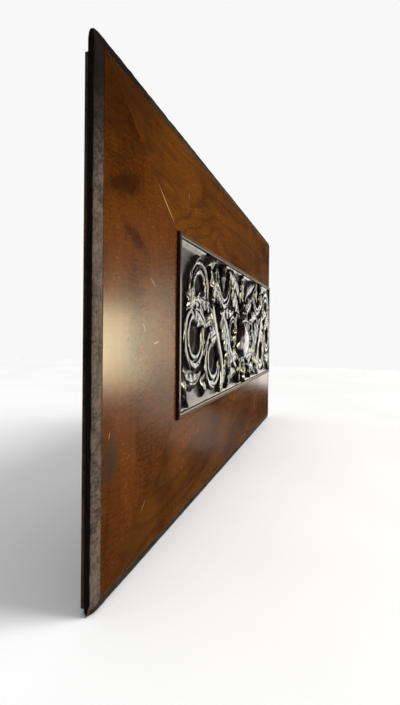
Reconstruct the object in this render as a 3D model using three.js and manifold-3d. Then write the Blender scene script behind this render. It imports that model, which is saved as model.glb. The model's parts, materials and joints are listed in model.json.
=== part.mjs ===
// Carved wooden wall plaque: four mitred boards slope up from a thin edge to a carved panel,
// and a thin board closes the back. Millimetres, +Z up, the front faces -Y.
// The origin is the centre of the flat back that lies against the wall.

import * as THREE from 'three';
import { mergeVertices } from 'three/addons/utils/BufferGeometryUtils.js';
import Module from 'manifold-3d';

// Whole plaque
const plaqueWidth = 760;
const plaqueHeight = 400;
const jointGap = 0.3;

// Backboard, set in from the outer edge
const backThickness = 4;
const backInsetTop = 14;
const backInsetBottom = 3.5;
const backInsetSide = 4;

// Border boards: a thin edge, a narrow bevelled strip, then a long slope up to the panel
const borderWidth = 114;
const edgeThickness = 5.1;
const stripWidth = 9.7;
const stripRise = 2.6;
const fieldRise = 17.8;

// Carved panel: a flat rim stands above the border, the ground inside it is sunk
const panelStep = 3;
const rimWidth = 4.5;
const groundDepth = 5;

// Carving: all forms are rooted below the ground and rise from it
const rootDepth = 2;
const smallestHalfWidth = 0.9;
const leafHeight = 7;
const leafStalkShare = 0.8;
const leafLobeDepth = 0.32;
const scrollHeight = 6.2;
const scrollEndShare = 0.8;
const scrollStepDegrees = 22;
const stemSteps = 10;

// Places on the panel's face are [x, z] from its middle; these forms fill its left half.
// Scrolls: centre, radii at start and end, start and turn in degrees, half widths, leaflets along it
const scrolls = {
  endArch: { centre: [-207, 36], radii: [29, 22], start: 222, turn: -262, halfWidths: [12, 9] },
  endCoil: {
    centre: [-222, -10], radii: [27.5, 24], start: 40, turn: 345, halfWidths: [11, 8], height: 6.5,
    leafletShares: [0.84],
  },
  lowCrescent: {
    centre: [-154, -36], radii: [28, 25], start: 75, turn: 285, halfWidths: [11, 8.5],
    leafletShares: [0.26, 0.46],
  },
  volute: {
    centre: [-62, -4], radii: [19, 8], start: -60, turn: 345, halfWidths: [7, 4],
    leafletShares: [0.25, 0.5, 0.78],
  },
  topCup: { centre: [-112, 64], radii: [35, 31], start: 182, turn: 178, halfWidths: [10, 6], height: 7.5 },
};

// Leaves: path from the stalk past two handles to the tip, half width, lobes on each edge
const leaves = {
  stemSheath: { path: [[-62, -64], [-92, -52], [-98, -34], [-88, -14]], halfWidth: 9, lobes: 4 },
  stemLeaf: { path: [[-78, -58], [-78, -26], [-104, -4], [-134, 22]], halfWidth: 17, lobes: 5, height: 8.4 },
  cupSide: { path: [[-112, 26], [-132, 38], [-156, 44], [-176, 66]], halfWidth: 12, lobes: 4, height: 8 },
  cupMiddle: { path: [[-116, 44], [-108, 54], [-112, 68], [-100, 79]], halfWidth: 10, lobes: 3 },
  archSide: { path: [[-190, 60], [-174, 76], [-158, 72], [-142, 77]], halfWidth: 8, lobes: 4 },
  archFoot: { path: [[-242, 20], [-212, 36], [-186, 30], [-160, 14]], halfWidth: 9, lobes: 5, height: 6.6 },
  cupFoot: { path: [[-118, 16], [-102, 28], [-84, 14], [-58, 24]], halfWidth: 9, lobes: 4 },
  highSpray: { path: [[-10, 34], [-33, 68], [-61, 66], [-87, 74]], halfWidth: 11, lobes: 5 },
  lowSpray: { path: [[-14, 12], [-40, 40], [-53, 36], [-72, 57]], halfWidth: 12, lobes: 4 },
  crescentTop: { path: [[-190, -6], [-182, 12], [-160, 12], [-146, -2]], halfWidth: 9, lobes: 4, height: 6 },
  coilFoot: { path: [[-198, -44], [-216, -60], [-240, -60], [-256, -44]], halfWidth: 9, lobes: 4, height: 6 },
  corner: { path: [[-256, -36], [-254, -48], [-252, -62], [-242, -78]], halfWidth: 7, lobes: 3, height: 6 },
  crescentSide: { path: [[-104, -36], [-98, -54], [-112, -64], [-128, -77]], halfWidth: 9, lobes: 4 },
  vaseBeside: { path: [[-52, 10], [-40, 16], [-34, -4], [-46, -26]], halfWidth: 9, lobes: 3, height: 6 },
  vaseSide: { path: [[-22, -46], [-42, -34], [-60, -34], [-82, -46]], halfWidth: 11, lobes: 4 },
  vaseLow: { path: [[-22, -68], [-48, -54], [-70, -60], [-98, -76]], halfWidth: 9, lobes: 4 },
  vaseCup: { path: [[-6, -42], [-26, -44], [-34, -56], [-40, -76]], halfWidth: 9, lobes: 3, height: 10 },
};

// Leaflets grow from the outside of a scroll and hook forwards; a sheath wraps each scroll's start
const leaflet = { length: 15, halfWidth: 6.5, height: 5.6 };
const sheath = { shares: [0.04, 0.12, 0.2], widthShare: 1.3, rise: 1.2 };
const fieldMargin = 9;

// Berries and buds: place, half width, half height and rise
const buds = {
  voluteEye: { at: [-62, -4], halfWidth: 6, halfHeight: 6, rise: 7 },
  stemBerry: { at: [-162, 31], halfWidth: 11, halfHeight: 7, rise: 8 },
  drop: { at: [-188, -66], halfWidth: 9, halfHeight: 10, rise: 6.5 },
};

// Stems: one from under the vase to the cup, one up beside the crescent to the berry
const stems = {
  main: { path: [[-10, -62], [-66, -60], [-80, -6], [-136, 22]], halfWidths: [6, 7], height: 6 },
  side: { path: [[-128, -77], [-98, -46], [-142, -22], [-162, 24]], halfWidths: [7, 10], height: 6.8 },
};

// The vase in the middle: a low belly in a cup of leaves, a lip, fruit and a tall leaf
const vaseFootLevel = -46;
const vaseLipLevel = 11;
const vaseFootHalfWidth = 22;
const vaseBellyHalfWidth = 46;
const vaseNeckHalfWidth = 14;
const vaseBellyShare = 0.36;
const vaseTaperPower = 1.6;
const vaseNeckHeight = 7;
const vaseBellyRise = 6;
const vaseSteps = 14;
const lip = { halfLength: 21, halfWidth: 4, height: 10, bow: 3, steps: 6 };
const fruit = { radius: 8, rise: 10, spacing: 14, firstRow: 22.5, rowStep: 11.5, rows: [3, 2] };
const tallLeaf = { path: [[0, 36], [0, 48], [0, 64], [0, 79]], halfWidth: 13, lobes: 4 };
const hangingLeaf = { path: [[0, -36], [0, -50], [0, -62], [0, -79]], halfWidth: 13, lobes: 4, height: 10 };

// Depths that follow from the sizes above
const boardBack = -(backThickness + jointGap);
const edgeFront = boardBack - edgeThickness;
const fieldFront = edgeFront - fieldRise;
const rimFront = fieldFront - panelStep;
const groundFront = rimFront + groundDepth;
const panelWidth = plaqueWidth - 2 * borderWidth;
const panelHeight = plaqueHeight - 2 * borderWidth;

const wasm = await Module();
wasm.setup();

// A path on the panel's face that winds round a centre while its radius shrinks
class Spiral extends THREE.Curve {
  constructor(centre, startRadius, endRadius, startDegrees, turnDegrees) {
    super();
    this.centre = centre;
    this.startRadius = startRadius;
    this.endRadius = endRadius;
    this.startAngle = THREE.MathUtils.degToRad(startDegrees);
    this.turn = THREE.MathUtils.degToRad(turnDegrees);
  }

  getPoint(t, target = new THREE.Vector2()) {
    const shrink = Math.sqrt(1 - t);
    const radius = this.endRadius + (this.startRadius - this.endRadius) * shrink;
    const angle = this.startAngle + this.turn * t;
    return target.set(
      this.centre[0] + radius * Math.cos(angle),
      this.centre[1] + radius * Math.sin(angle),
    );
  }
}

// A smooth path on the panel's face from its start past two handles to its end
function sweep(start, handle1, handle2, end) {
  const corners = [start, handle1, handle2, end].map(([x, z]) => new THREE.Vector2(x, z));
  return new THREE.CubicBezierCurve(...corners);
}

// Turns the faces of a closed geometry outwards
function facingOut(geometry) {
  const index = geometry.index.array;
  const position = geometry.attributes.position;
  const [a, b, c] = [new THREE.Vector3(), new THREE.Vector3(), new THREE.Vector3()];
  let volume = 0;
  for (let i = 0; i < index.length; i += 3) {
    a.fromBufferAttribute(position, index[i]);
    b.fromBufferAttribute(position, index[i + 1]);
    c.fromBufferAttribute(position, index[i + 2]);
    volume += a.dot(b.cross(c));
  }
  if (volume < 0) {
    index.reverse();
  }
  return geometry;
}

// A closed solid through a row of rings with the same number of points
function loft(rings) {
  const sides = rings[0].length;
  const last = (rings.length - 1) * sides;
  const points = rings.flat();
  const index = [];
  for (let ring = 0; ring < last; ring += sides) {
    for (let k = 0; k < sides; k += 1) {
      const next = (k + 1) % sides;
      index.push(ring + k, ring + next, ring + sides + k);
      index.push(ring + next, ring + sides + next, ring + sides + k);
    }
  }
  for (const [first, turned] of [[0, true], [last, false]]) {
    const middle = new THREE.Vector3();
    points.slice(first, first + sides).forEach((point) => middle.addScaledVector(point, 1 / sides));
    points.push(middle);
    for (let k = 0; k < sides; k += 1) {
      const pair = [first + k, first + ((k + 1) % sides)];
      index.push(points.length - 1, ...(turned ? pair.reverse() : pair));
    }
  }
  const geometry = new THREE.BufferGeometry().setFromPoints(points);
  geometry.setIndex(index);
  return facingOut(geometry);
}

function solidOf(geometry) {
  geometry.deleteAttribute('normal');
  geometry.deleteAttribute('uv');
  const merged = facingOut(mergeVertices(geometry));
  return new wasm.Manifold(new wasm.Mesh({
    numProp: 3,
    vertProperties: new Float32Array(merged.attributes.position.array),
    triVerts: new Uint32Array(merged.index.array),
  }));
}

function geometryOf(solid) {
  const mesh = solid.getMesh();
  const geometry = new THREE.BufferGeometry();
  geometry.setAttribute('position', new THREE.BufferAttribute(mesh.vertProperties, 3));
  geometry.setIndex(new THREE.BufferAttribute(mesh.triVerts, 1));
  return geometry;
}

// Cross-sections of the carving, as shares of half width across and of height above the ground
function roundSection(points) {
  const section = [];
  for (let k = 0; k < points; k += 1) {
    const angle = Math.PI * (1 - k / (points - 1));
    section.push([Math.cos(angle), Math.sin(angle)]);
  }
  return section;
}

const leafSection = [[-1, 0.6], [0, 1], [1, 0.6]];
const bandSection = [[-1, 0.88], [-0.6, 1], [0.6, 1], [1, 0.88]];
const lipSection = roundSection(6);
const bellySection = roundSection(11);

// A carved form along a path on the panel's face; half width and height change along it
function carve(path, steps, halfWidthAt, heightAt, section) {
  const rings = [];
  const ahead = 0.002;
  for (let step = 0; step <= steps; step += 1) {
    const t = step / steps;
    const centre = path.getPoint(t);
    const direction = path.getPoint(Math.min(1, t + ahead)).sub(path.getPoint(Math.max(0, t - ahead)));
    const across = new THREE.Vector2(direction.y, -direction.x).normalize();
    const halfWidth = Math.max(smallestHalfWidth, halfWidthAt(t));
    const place = (share, lift) => new THREE.Vector3(
      centre.x + across.x * halfWidth * share,
      groundFront - lift,
      centre.y + across.y * halfWidth * share,
    );
    const crown = section.map(([share, rise]) => place(share, rise * heightAt(t)));
    rings.push([place(-1, -rootDepth), ...crown, place(1, -rootDepth)]);
  }
  return loft(rings);
}

const blend = (from, to) => (t) => from + (to - from) * t;
const always = (value) => () => value;

// A band that winds in, tapering
function scroll({ centre, radii, start, turn, halfWidths, height = scrollHeight }) {
  const path = new Spiral(centre, ...radii, start, turn);
  const steps = Math.ceil(Math.abs(turn) / scrollStepDegrees);
  return carve(path, steps, blend(...halfWidths), blend(height, height * scrollEndShare), bandSection);
}

// A pointed leaf with a raised midrib and lobes along both edges; it rises to its tip
function leaf({ path, halfWidth, lobes, height = leafHeight, lobeDepth = leafLobeDepth }) {
  const stalk = 0.07;
  const tip = 0.95;
  const outlineAt = (t) => Math.sin(Math.PI * (stalk + (tip - stalk) * t));
  const lobeAt = (t) => 1 - lobeDepth * (0.5 - 0.5 * Math.cos(2 * Math.PI * lobes * t));
  const halfWidthAt = (t) => halfWidth * outlineAt(t) * lobeAt(t);
  return carve(sweep(...path), 2 * lobes, halfWidthAt, blend(height * leafStalkShare, height), leafSection);
}

// The leaflets of a scroll whose tips stay on the sunk ground
function leaflets({ centre, radii, start, turn, halfWidths, leafletShares = [] }) {
  const path = new Spiral(centre, ...radii, start, turn);
  const ahead = 0.01;
  const { length, halfWidth, height } = leaflet;
  const sizes = leafletShares.map((t) => {
    const root = path.getPoint(t);
    const forward = path.getPoint(t + ahead).sub(root).normalize();
    const outward = root.clone().sub(new THREE.Vector2(...centre)).normalize();
    const edge = blend(...halfWidths)(t);
    const place = (out, along) => [
      root.x + outward.x * out + forward.x * along,
      root.y + outward.y * out + forward.y * along,
    ];
    const corners = [
      place(0, 0),
      place(edge + 0.3 * length, -0.1 * length),
      place(edge + 0.9 * length, 0.1 * length),
      place(edge + 0.7 * length, 0.9 * length),
    ];
    return { path: corners, halfWidth, lobes: 1, height, lobeDepth: 0 };
  });
  const onGround = ([x, z]) => x < 0
    && Math.abs(x) < panelWidth / 2 - fieldMargin
    && Math.abs(z) < panelHeight / 2 - fieldMargin;
  return sizes.filter((one) => onGround(one.path[3])).map(leaf);
}

// The leaf that wraps the start of a scroll
function scrollSheath({ centre, radii, start, turn, halfWidths, height = scrollHeight }) {
  const path = new Spiral(centre, ...radii, start, turn);
  const first = path.getPoint(0);
  const behind = first.clone().multiplyScalar(2).sub(path.getPoint(sheath.shares[1]));
  const points = [behind, ...sheath.shares.map((share) => path.getPoint(share))];
  return leaf({
    path: points.map((point) => point.toArray()),
    halfWidth: halfWidths[0] * sheath.widthShare,
    lobes: 2,
    height: height + sheath.rise,
  });
}

function stem({ path, halfWidths, height }) {
  return carve(sweep(...path), stemSteps, blend(...halfWidths), always(height), bandSection);
}

// A rounded bud or berry, half sunk in the ground
function bud({ at: [x, z], halfWidth, halfHeight, rise }) {
  const ball = new THREE.SphereGeometry(1, 8, 5);
  ball.scale(halfWidth, rise, halfHeight);
  ball.translate(x, groundFront, z);
  return ball;
}

function mirrored(geometry) {
  const copy = geometry.clone();
  copy.scale(-1, 1, 1);
  return copy;
}

// One half of the scrolling foliage, left of the panel's middle
function foliage() {
  return [
    ...Object.values(stems).map(stem),
    ...Object.values(scrolls).map(scroll),
    ...Object.values(scrolls).map(scrollSheath),
    ...Object.values(scrolls).flatMap(leaflets),
    ...Object.values(leaves).map(leaf),
    ...Object.values(buds).map(bud),
  ];
}

function vaseHalfWidth(t) {
  const quarterTurn = Math.PI / 2;
  if (t < vaseBellyShare) {
    const swell = Math.sin(quarterTurn * t / vaseBellyShare);
    return vaseFootHalfWidth + (vaseBellyHalfWidth - vaseFootHalfWidth) * swell;
  }
  const shoulder = Math.cos(quarterTurn * (t - vaseBellyShare) / (1 - vaseBellyShare));
  return vaseNeckHalfWidth + (vaseBellyHalfWidth - vaseNeckHalfWidth) * shoulder ** vaseTaperPower;
}

function vase() {
  const axis = new THREE.LineCurve(new THREE.Vector2(0, vaseFootLevel), new THREE.Vector2(0, vaseLipLevel));
  const heightAt = (t) => vaseNeckHeight + vaseBellyRise * Math.sin(Math.PI * t);
  const forms = [carve(axis, vaseSteps, vaseHalfWidth, heightAt, bellySection)];
  const lipPath = sweep(
    [-lip.halfLength, vaseLipLevel - lip.bow / 2],
    [-lip.halfLength / 3, vaseLipLevel + lip.bow / 2],
    [lip.halfLength / 3, vaseLipLevel + lip.bow / 2],
    [lip.halfLength, vaseLipLevel - lip.bow / 2],
  );
  forms.push(carve(lipPath, lip.steps, always(lip.halfWidth), always(lip.height), lipSection));
  fruit.rows.forEach((count, row) => {
    for (let k = 0; k < count; k += 1) {
      const at = [fruit.spacing * (k - (count - 1) / 2), fruit.firstRow + fruit.rowStep * row];
      forms.push(bud({ at, halfWidth: fruit.radius, halfHeight: fruit.radius, rise: fruit.rise }));
    }
  });
  forms.push(leaf(tallLeaf), leaf(hangingLeaf));
  return forms;
}

// The panel: a slab with a raised rim, a sunk ground and the carving grown out of it
function carvedPanel() {
  const width = panelWidth - 2 * jointGap;
  const height = panelHeight - 2 * jointGap;
  const depth = boardBack - rimFront;
  const slab = new THREE.BoxGeometry(width, depth, height).translate(0, rimFront + depth / 2, 0);
  const cutDepth = 2 * groundDepth;
  const pocket = new THREE.BoxGeometry(width - 2 * rimWidth, cutDepth, height - 2 * rimWidth);
  pocket.translate(0, groundFront - cutDepth / 2, 0);
  const half = foliage();
  const forms = [...half, ...half.map(mirrored), ...vase()].map(solidOf);
  const sunk = solidOf(slab).subtract(solidOf(pocket));
  return geometryOf(wasm.Manifold.union([sunk, ...forms]));
}

// A border board: its section runs straight between two mitred ends
function borderBoard(halfLength, halfAcross) {
  const inner = borderWidth;
  const section = [
    [0, boardBack],
    [0, edgeFront],
    [stripWidth, edgeFront - stripRise],
    [inner, fieldFront],
    [inner, boardBack],
  ];
  const mitreGap = jointGap;
  const ring = (side) => section.map(([inset, depth]) => new THREE.Vector3(
    side * (halfLength - inset - mitreGap),
    depth,
    halfAcross - inset,
  ));
  return loft([ring(-1), ring(1)]);
}

function backboard() {
  const width = plaqueWidth - 2 * backInsetSide;
  const height = plaqueHeight - backInsetTop - backInsetBottom;
  const board = new THREE.BoxGeometry(width, backThickness, height);
  board.translate(0, -backThickness / 2, (backInsetBottom - backInsetTop) / 2);
  return board;
}

const borderWood = new THREE.MeshStandardMaterial({ color: 0x7a4520, roughness: 0.35, metalness: 0 });
const carvedWood = new THREE.MeshStandardMaterial({ color: 0x2a1d16, roughness: 0.25, metalness: 0 });
const backWood = new THREE.MeshStandardMaterial({ color: 0x2b2019, roughness: 0.8, metalness: 0 });

const plaque = new THREE.Group();

function addPiece(name, geometry, material, turn = 0) {
  const piece = new THREE.Mesh(geometry, material);
  piece.name = name;
  piece.rotation.y = turn;
  plaque.add(piece);
}

addPiece('backboard', backboard(), backWood);
addPiece('border_top', borderBoard(plaqueWidth / 2, plaqueHeight / 2), borderWood);
addPiece('border_right', borderBoard(plaqueHeight / 2, plaqueWidth / 2), borderWood, Math.PI / 2);
addPiece('border_bottom', borderBoard(plaqueWidth / 2, plaqueHeight / 2), borderWood, Math.PI);
addPiece('border_left', borderBoard(plaqueHeight / 2, plaqueWidth / 2), borderWood, -Math.PI / 2);
addPiece('carved_panel', carvedPanel(), carvedWood);

export default plaque;
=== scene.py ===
"""Looks of a carved wooden wall plaque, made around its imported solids.

Four mitred border boards slope up to a dark carved panel, and a thin board closes the back.
The frame is in metres, +Z up, with the front towards -Y. Sizes in this script are in millimetres.
"""

import json
import math
from dataclasses import dataclass

import bmesh
import bpy
import numpy as np
from mathutils import Matrix, Vector, noise

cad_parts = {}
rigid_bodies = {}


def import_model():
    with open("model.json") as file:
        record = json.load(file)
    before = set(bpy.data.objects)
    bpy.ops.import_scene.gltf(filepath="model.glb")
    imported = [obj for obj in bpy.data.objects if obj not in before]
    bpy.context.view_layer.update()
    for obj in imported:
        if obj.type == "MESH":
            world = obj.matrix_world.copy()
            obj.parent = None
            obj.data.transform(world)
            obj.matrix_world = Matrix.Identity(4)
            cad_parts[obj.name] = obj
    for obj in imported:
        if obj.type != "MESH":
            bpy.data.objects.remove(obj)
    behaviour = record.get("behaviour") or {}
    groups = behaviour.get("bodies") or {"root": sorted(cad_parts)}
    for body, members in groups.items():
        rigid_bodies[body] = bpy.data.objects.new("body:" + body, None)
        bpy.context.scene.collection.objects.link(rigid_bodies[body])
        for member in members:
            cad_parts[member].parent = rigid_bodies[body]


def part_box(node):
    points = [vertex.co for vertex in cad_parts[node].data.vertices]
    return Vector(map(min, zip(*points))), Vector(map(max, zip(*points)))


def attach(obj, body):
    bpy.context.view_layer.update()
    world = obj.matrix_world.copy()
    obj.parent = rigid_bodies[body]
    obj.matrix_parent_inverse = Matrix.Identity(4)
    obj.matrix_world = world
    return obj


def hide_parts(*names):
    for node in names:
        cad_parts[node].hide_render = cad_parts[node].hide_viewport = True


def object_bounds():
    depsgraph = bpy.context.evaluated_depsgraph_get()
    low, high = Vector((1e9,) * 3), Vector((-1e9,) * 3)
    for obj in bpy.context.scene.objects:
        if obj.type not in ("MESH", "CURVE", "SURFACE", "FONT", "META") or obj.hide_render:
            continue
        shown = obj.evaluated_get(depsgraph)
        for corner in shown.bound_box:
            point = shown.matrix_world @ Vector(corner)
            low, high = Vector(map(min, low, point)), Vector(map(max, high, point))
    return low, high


for leftover in list(bpy.data.objects):
    bpy.data.objects.remove(leftover)
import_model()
cad_low, cad_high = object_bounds()

MM = 0.001

# Border boards, as in the solids
BORDER_WIDTH = 114.0
EDGE_THICKNESS = 5.1
STRIP_WIDTH = 9.7
STRIP_RISE = 2.6
FIELD_RISE = 17.8

# Carved panel, as in the solids
PANEL_STEP = 3.0
RIM_WIDTH = 4.5
GROUND_DEPTH = 5.0

# Places that the frame gives
HALF_WIDTH = cad_high.x / MM
HALF_HEIGHT = cad_high.z / MM
BOARD_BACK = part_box("border_left")[1].y / MM
EDGE_FRONT = BOARD_BACK - EDGE_THICKNESS
FIELD_FRONT = EDGE_FRONT - FIELD_RISE
PANEL_HALF_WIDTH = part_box("carved_panel")[1].x / MM
PANEL_HALF_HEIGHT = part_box("carved_panel")[1].z / MM
RIM_FRONT = FIELD_FRONT - PANEL_STEP
GROUND_FRONT = RIM_FRONT + GROUND_DEPTH

# Edges of the panel's rim, eased by hand
ARRIS = 0.6

# Carving: heights as in the solids, with deeper cuts between the lobes of a leaf
UNDER_CUT = 0.9
VASE_UNDER_CUT = 0.98
ROOT_DEPTH = 2.0
LEAF_HEIGHT = 7.0
LEAF_STALK_SHARE = 0.8
LEAF_LOBE_DEPTH = 0.38
SCROLL_HEIGHT = 6.2
SCROLL_END_SHARE = 0.8

# Scrolls of the left half: angles in degrees, and leaflets at shares of the length
SCROLLS = {
    "end_arch": dict(centre=(-207, 36), radii=(29, 22), start=222, turn=-262,
                     half_widths=(12, 9), beaded=True),
    "end_coil": dict(centre=(-222, -10), radii=(27.5, 24), start=40, turn=345,
                     half_widths=(11, 8), height=6.5, leaflet_shares=(0.84,)),
    "low_crescent": dict(centre=(-154, -36), radii=(28, 25), start=75, turn=285, half_widths=(11, 8.5),
                         leaflet_shares=(0.26, 0.46)),
    "volute": dict(centre=(-62, -4), radii=(19, 8), start=-60, turn=345, half_widths=(7, 4),
                   leaflet_shares=(0.25, 0.5, 0.78)),
    "top_cup": dict(centre=(-112, 64), radii=(35, 31), start=182, turn=178,
                    half_widths=(10, 6), height=7.5),
}

# Leaves of the left half: path from the stalk past two handles to the tip, half width, lobes on an edge
LEAVES = {
    "stem_sheath": dict(path=((-62, -64), (-92, -52), (-98, -34), (-88, -14)), half_width=9, lobes=4),
    "stem_leaf": dict(path=((-78, -58), (-78, -26), (-104, -4), (-134, 22)),
                      half_width=17, lobes=5, height=8.4),
    "cup_side": dict(path=((-112, 26), (-132, 38), (-156, 44), (-176, 66)),
                     half_width=12, lobes=4, height=8),
    "cup_middle": dict(path=((-116, 44), (-108, 54), (-112, 68), (-100, 79)), half_width=10, lobes=3),
    "arch_side": dict(path=((-190, 60), (-174, 76), (-158, 72), (-142, 77)), half_width=8, lobes=4),
    "arch_foot": dict(path=((-242, 20), (-212, 36), (-186, 30), (-160, 14)),
                      half_width=9, lobes=5, height=6.6),
    "cup_foot": dict(path=((-118, 16), (-102, 28), (-84, 14), (-58, 24)), half_width=9, lobes=4),
    "high_spray": dict(path=((-10, 34), (-33, 68), (-61, 66), (-87, 74)), half_width=11, lobes=5),
    "low_spray": dict(path=((-14, 12), (-40, 40), (-53, 36), (-72, 57)), half_width=12, lobes=4),
    "crescent_top": dict(path=((-190, -6), (-182, 12), (-160, 12), (-146, -2)),
                         half_width=9, lobes=4, height=6),
    "coil_foot": dict(path=((-198, -44), (-216, -60), (-240, -60), (-256, -44)),
                      half_width=9, lobes=4, height=6),
    "corner": dict(path=((-256, -36), (-254, -48), (-252, -62), (-242, -78)),
                   half_width=7, lobes=3, height=6),
    "crescent_side": dict(path=((-104, -36), (-98, -54), (-112, -64), (-128, -77)), half_width=9, lobes=4),
    "vase_beside": dict(path=((-52, 10), (-40, 16), (-34, -4), (-46, -26)),
                        half_width=9, lobes=3, height=6),
    "vase_side": dict(path=((-22, -46), (-42, -34), (-60, -34), (-82, -46)), half_width=11, lobes=4),
    "vase_low": dict(path=((-22, -68), (-48, -54), (-70, -60), (-98, -76)), half_width=9, lobes=4),
    "vase_cup": dict(path=((-6, -42), (-26, -44), (-34, -56), (-40, -76)),
                     half_width=9, lobes=3, height=10),
}
TALL_LEAF = dict(path=((0, 36), (0, 48), (0, 64), (0, 79)), half_width=13, lobes=4)
HANGING_LEAF = dict(path=((0, -36), (0, -50), (0, -62), (0, -79)), half_width=13, lobes=4, height=10)

# Leaflets on the outside of a scroll: their path reaches out and forwards by shares of their length
LEAFLET_REACHES = ((0.3, -0.1), (0.9, 0.1), (0.7, 0.9))
LEAFLET_LENGTH = 15.0
LEAFLET_HALF_WIDTH = 6.5
LEAFLET_HEIGHT = 5.6
LEAFLET_LOBES = 2
LEAFLET_STATIONS_PER_LOBE = 8
LEAFLET_MARGIN = 9.0

# Leaf that wraps the start of each scroll
SHEATH_LOBES = 3
SHEATH_SHARES = (0.04, 0.12, 0.2)
SHEATH_WIDTH_SHARE = 1.3
SHEATH_RISE = 1.2

# Berries and buds of the left half: place, half width, half height, rise and grooves round it
BUDS = {
    "volute_eye": dict(at=(-62, -4), half_width=6, half_height=6, rise=7, grooves=0),
    "stem_berry": dict(at=(-162, 31), half_width=11, half_height=7, rise=8, grooves=0),
    "drop": dict(at=(-188, -66), half_width=9, half_height=10, rise=6.5, grooves=6),
}

# Stems of the left half: path past two handles, half widths at its ends and height
STEMS = {
    "main": dict(path=((-10, -62), (-66, -60), (-80, -6), (-136, 22)), half_widths=(6, 7), height=6),
    "side": dict(path=((-128, -77), (-98, -46), (-142, -22), (-162, 24)), half_widths=(7, 10), height=6.8),
}

# Beads in the hollow of the end arch
BEAD_RADIUS = 1.8
BEAD_SPACING = 4.4
BEAD_OFFSET_SHARE = 0.12
BEAD_RUN = (0.1, 0.9)
BEAD_RINGS = 7
BEAD_SIDES = 10

# Vase in the middle
VASE_FOOT_LEVEL = -46.0
VASE_LIP_LEVEL = 11.0
VASE_FOOT_HALF_WIDTH = 22.0
VASE_BELLY_HALF_WIDTH = 46.0
VASE_NECK_HALF_WIDTH = 14.0
VASE_BELLY_SHARE = 0.36
VASE_TAPER_POWER = 1.6
VASE_NECK_HEIGHT = 7.0
VASE_BELLY_RISE = 6.0
LIP = dict(half_length=21.0, half_width=4.0, height=10.0, bow=3.0, end_share=0.08, least_width=0.2)
FRUIT = dict(radius=8.0, rise=10.0, spacing=14.0, first_row=22.5, row_step=11.5, rows=(3, 2))

# Lobes along the outside of a scroll
LOBE_LENGTH = 27.0

# Fineness of the carved surface
LEAF_STATIONS_PER_LOBE = 12
LEAF_POINTS_ACROSS = 19
BAND_DEGREES_PER_STATION = 3.0
BAND_POINTS_ACROSS = 21
STEM_STATIONS = 64
ROUND_POINTS_ACROSS = 15
BELLY_STATIONS = 44
BELLY_POINTS_ACROSS = 41
BUD_SEGMENTS = 20
BUD_RINGS = 14
GROUND_CELL = 3.0
CARVING_SHARP_DEGREES = 40.0
BOARD_SHARP_DEGREES = 35.0

# Sunk ground: depth and length of the tool marks, and the cove where it meets the rim
TOOL_MARK = 0.35
TOOL_LENGTH = 9.0
COVE_RISE = 1.8
COVE_REACH = 6.0

# Hand work: how far the carved faces wander, and over what length
CHISEL_DEPTHS = (0.45, 0.14)
CHISEL_LENGTHS = (9.0, 3.5)

# Camera, from the corners of the plaque in the photograph
IMAGE_HEIGHT = 705
FOCAL_PIXELS = 442.1
PRINCIPAL_PIXEL_Y = 332.3
CAMERA_PLACE = Vector((-641.1, -168.8, -6.1)) * MM
CAMERA_YAW = math.radians(72.36)
CAMERA_ROLL = math.radians(0.46)


def make_camera():
    data = bpy.data.cameras.new("camera")
    data.sensor_width = 36.0
    data.lens = FOCAL_PIXELS * data.sensor_width / IMAGE_HEIGHT
    data.shift_y = (PRINCIPAL_PIXEL_Y - IMAGE_HEIGHT / 2) / IMAGE_HEIGHT
    data.clip_start = 0.01
    camera = bpy.data.objects.new("camera", data)
    forward = Vector((math.sin(CAMERA_YAW), math.cos(CAMERA_YAW), 0.0))
    level = forward.cross(Vector((0.0, 0.0, 1.0)))
    right = level * math.cos(CAMERA_ROLL) + Vector((0.0, 0.0, math.sin(CAMERA_ROLL)))
    up = right.cross(forward)
    turned = Matrix((right, up, -forward)).transposed().to_4x4()
    camera.matrix_world = Matrix.Translation(CAMERA_PLACE) @ turned
    bpy.context.scene.collection.objects.link(camera)
    bpy.context.scene.camera = camera


# Mesh helpers

def make_object(name, points, faces):
    """A closed mesh object from points in millimetres, with its faces turned outwards."""
    mesh = bpy.data.meshes.new(name)
    mesh.from_pydata((np.asarray(points) * MM).tolist(), [], faces)
    work = bmesh.new()
    work.from_mesh(mesh)
    bmesh.ops.recalc_face_normals(work, faces=work.faces)
    work.to_mesh(mesh)
    work.free()
    made = bpy.data.objects.new(name, mesh)
    bpy.context.scene.collection.objects.link(made)
    return made


def loft(rings):
    """Points and faces of a closed form through rings, an array of rings by sides by 3."""
    count, sides = rings.shape[:2]
    points = np.vstack([rings.reshape(-1, 3), rings[[0, -1]].mean(axis=1)])
    side = np.arange(sides)
    following = np.roll(side, -1)
    faces = []
    for first in range(0, (count - 1) * sides, sides):
        quads = (first + side, first + following, first + sides + following, first + sides + side)
        faces.extend(np.stack(quads, axis=1).tolist())
    for first, middle in ((0, count * sides), ((count - 1) * sides, count * sides + 1)):
        faces.extend([middle, first + int(a), first + int(b)] for a, b in zip(side, following))
    return points, faces


def mirrored(form):
    points, faces = form
    return points * np.array([-1.0, 1.0, 1.0]), faces


def shade_smooth(piece, sharp_degrees):
    mesh = piece.data
    mesh.polygons.foreach_set("use_smooth", np.ones(len(mesh.polygons), bool))
    mesh.set_sharp_from_angle(angle=math.radians(sharp_degrees))


def store(piece, name, values):
    """Keeps one number for each point of a piece, for its material to read."""
    layer = piece.data.attributes.new(name, "FLOAT", "POINT")
    layer.data.foreach_set("value", np.asarray(values, np.float32))


def smooth_step(low, high, x):
    share = np.clip((x - low) / (high - low), 0.0, 1.0)
    return share * share * (3.0 - 2.0 * share)


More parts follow.
